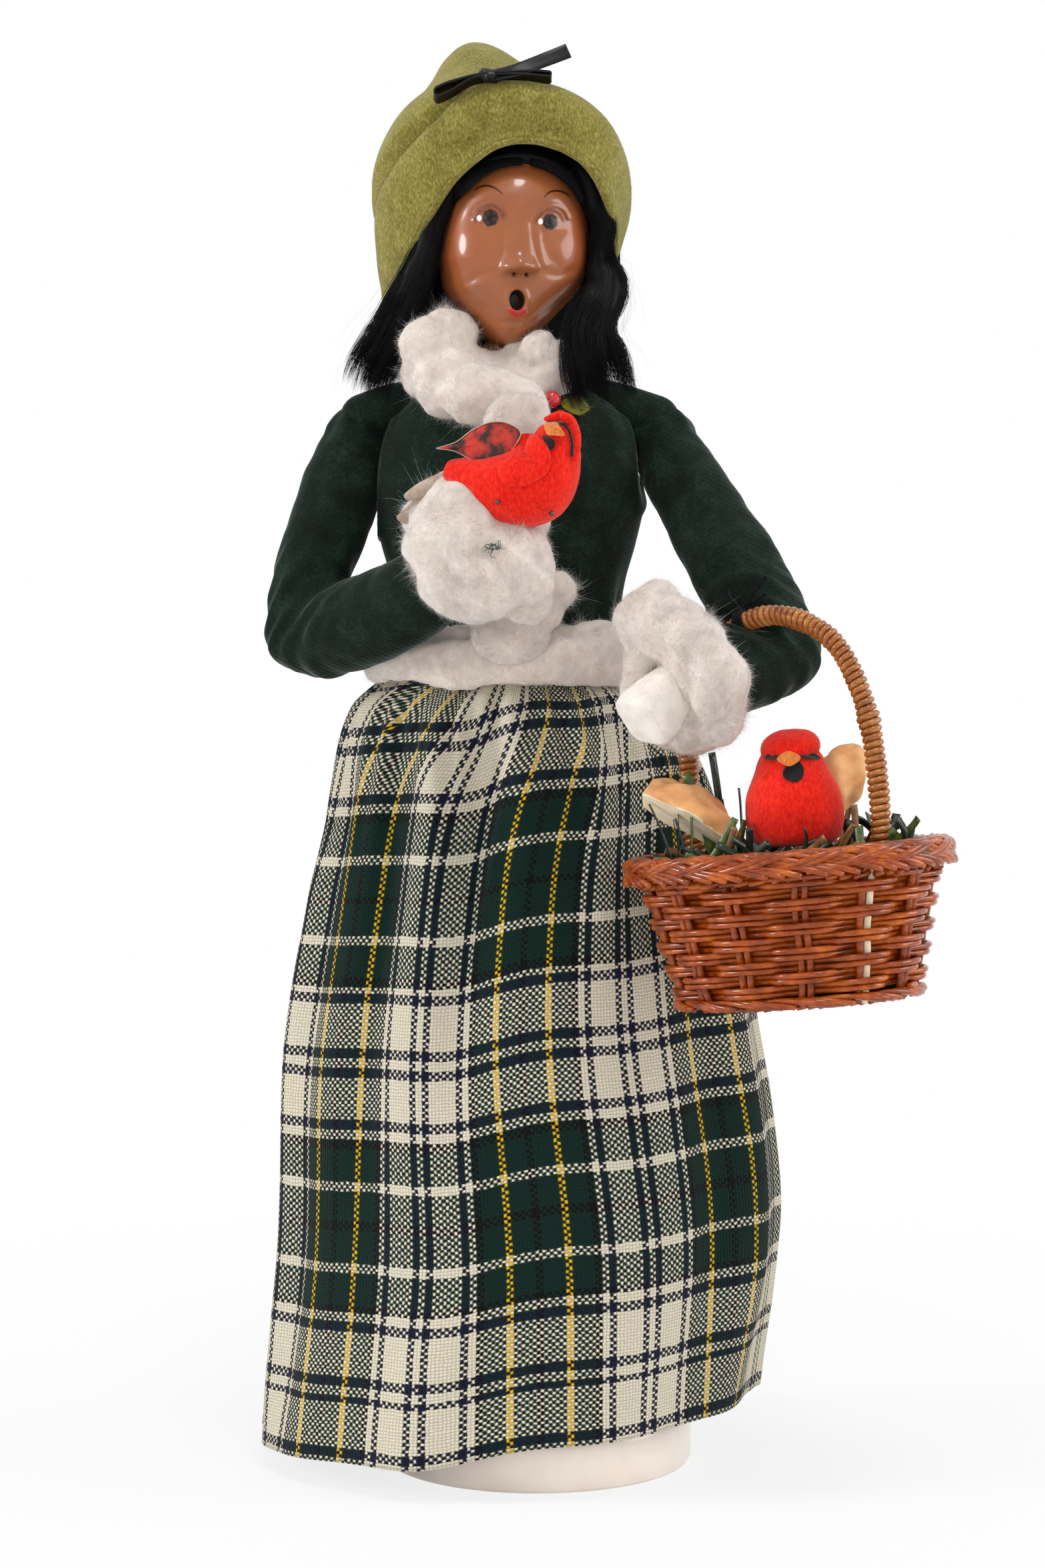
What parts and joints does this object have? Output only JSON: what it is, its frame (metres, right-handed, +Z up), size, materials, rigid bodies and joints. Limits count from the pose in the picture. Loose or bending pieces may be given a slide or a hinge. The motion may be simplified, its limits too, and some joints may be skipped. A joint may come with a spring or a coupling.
{
  "type": "caroler doll",
  "caption": "Standing caroler doll in a plaid skirt, velvet jacket and felt hat, with posable wire arms, one holding a small stuffed bird and one carrying a filled wicker basket.",
  "frame": {"origin": "on the floor under the middle of the round base", "axes": "+Z up, the doll faces -Y, +X to the viewer's right, which is the doll's left"},
  "size_m": [0.1542, 0.1346, 0.3316],
  "materials": {
    "cast_base": "smooth cast base with glossy off-white paint",
    "steel_wire": "plain drawn wire",
    "paper_core": "tightly wound paper",
    "plaid_cloth": "plain woven wool plaid of green, navy, white and yellow yarns",
    "green_velvet": "dark green velvet with a short nap",
    "white_fur": "fluffy white fleece",
    "white_knit": "fine white knit",
    "face_clay": "painted modelling clay under gloss varnish",
    "black_hair": "long black fibre hair",
    "olive_felt": "thick olive felt with a matted surface",
    "black_satin": "narrow black satin ribbon",
    "red_felt": "bright red felt",
    "printed_wing": "dark red printed wing",
    "kraft_tail": "grey brown card",
    "orange_felt": "orange felt",
    "wicker": "stained willow with a satin varnish",
    "cane": "stained split cane",
    "paper_fill": "crumpled paper",
    "green_strips": "narrow strips of artificial greenery",
    "bread_crust": "baked crust, peach brown",
    "red_berry": "lacquered red beads",
    "leaf_cloth": "yellow green leaf",
    "black_thread": "black sewing thread"
  },
  "bodies": {
    "doll": {"base": "cast_base", "leg_wire_right": "steel_wire", "leg_wire_left": "steel_wire", "torso_core": "paper_core", "neck_wire": "steel_wire", "shoulder_wire": "steel_wire", "waistband": "plaid_cloth", "skirt": "plaid_cloth", "jacket_bodice": "green_velvet", "hem_fur": "white_fur", "collar_fur": "white_fur", "front_fur": "white_fur", "holly_berry_upper": "red_berry", "holly_berry_lower": "red_berry", "holly_leaf": "leaf_cloth"},
    "head": {"head": "face_clay", "hair_cap": "black_hair", "hair_lock_right": "black_hair", "hair_lock_left": "black_hair", "hat_crown": "olive_felt", "hat_brim": "olive_felt", "bow_knot": "black_satin", "bow_loop_right": "black_satin", "bow_loop_left": "black_satin", "bow_tail": "black_satin"},
    "right_upper_arm": {"upper_sleeve_right": "green_velvet", "upper_arm_wire_right": "steel_wire"},
    "right_forearm": {"lower_sleeve_right": "green_velvet", "forearm_wire_right": "steel_wire", "hand_right": "white_knit", "cuff_fur_right": "white_fur", "hand_bird_body": "red_felt", "hand_bird_wing_near": "red_felt", "hand_bird_wing_far": "printed_wing", "hand_bird_tail": "kraft_tail", "hand_bird_beak": "orange_felt", "hand_bird_crest": "red_felt"},
    "left_upper_arm": {"upper_sleeve_left": "green_velvet", "upper_arm_wire_left": "steel_wire"},
    "left_forearm": {"lower_sleeve_left": "green_velvet", "forearm_wire_left": "steel_wire", "hand_left": "white_knit", "cuff_fur_left": "white_fur", "handle_tie": "black_thread"},
    "basket": {"basket_frame": "wicker", "basket_weaver": "wicker", "basket_rim": "wicker", "basket_handle": "cane", "handle_wrap": "cane", "basket_filler": "paper_fill", "greenery": "green_strips", "bread_roll_front": "bread_crust", "bread_roll_back": "bread_crust", "basket_bird_body": "red_felt", "basket_bird_crest": "red_felt", "basket_bird_beak": "orange_felt"}
  },
  "joints": [
    {"name": "head_turn", "type": "hinge", "parent": "doll", "child": "head", "pos_m": [-0.0065, 0, 0.2495], "axis": [0, 0, 1], "range_deg": [-20, 20]},
    {"name": "right_shoulder", "type": "hinge", "parent": "doll", "child": "right_upper_arm", "pos_m": [-0.041, 0.0032, 0.24], "axis": [-1, 0, 0], "range_deg": [0, 30]},
    {"name": "right_elbow", "type": "hinge", "parent": "right_upper_arm", "child": "right_forearm", "pos_m": [-0.0535, -0.0058, 0.194], "axis": [-0.7452, -0.5866, 0.3173], "range_deg": [-25, 5]},
    {"name": "left_shoulder", "type": "hinge", "parent": "doll", "child": "left_upper_arm", "pos_m": [0.028, 0.0032, 0.24], "axis": [-1, 0, 0], "range_deg": [0, 30]},
    {"name": "left_elbow", "type": "hinge", "parent": "left_upper_arm", "child": "left_forearm", "pos_m": [0.0535, -0.0393, 0.191], "axis": [-0.3493, 0.6102, -0.7111], "range_deg": [-20, 1]},
    {"name": "basket_swing", "type": "hinge", "parent": "left_forearm", "child": "basket", "pos_m": [0.04558, -0.04614, 0.19793], "axis": [0.7771, -0.6293, 0], "range_deg": [-10, 12]}
  ]
}
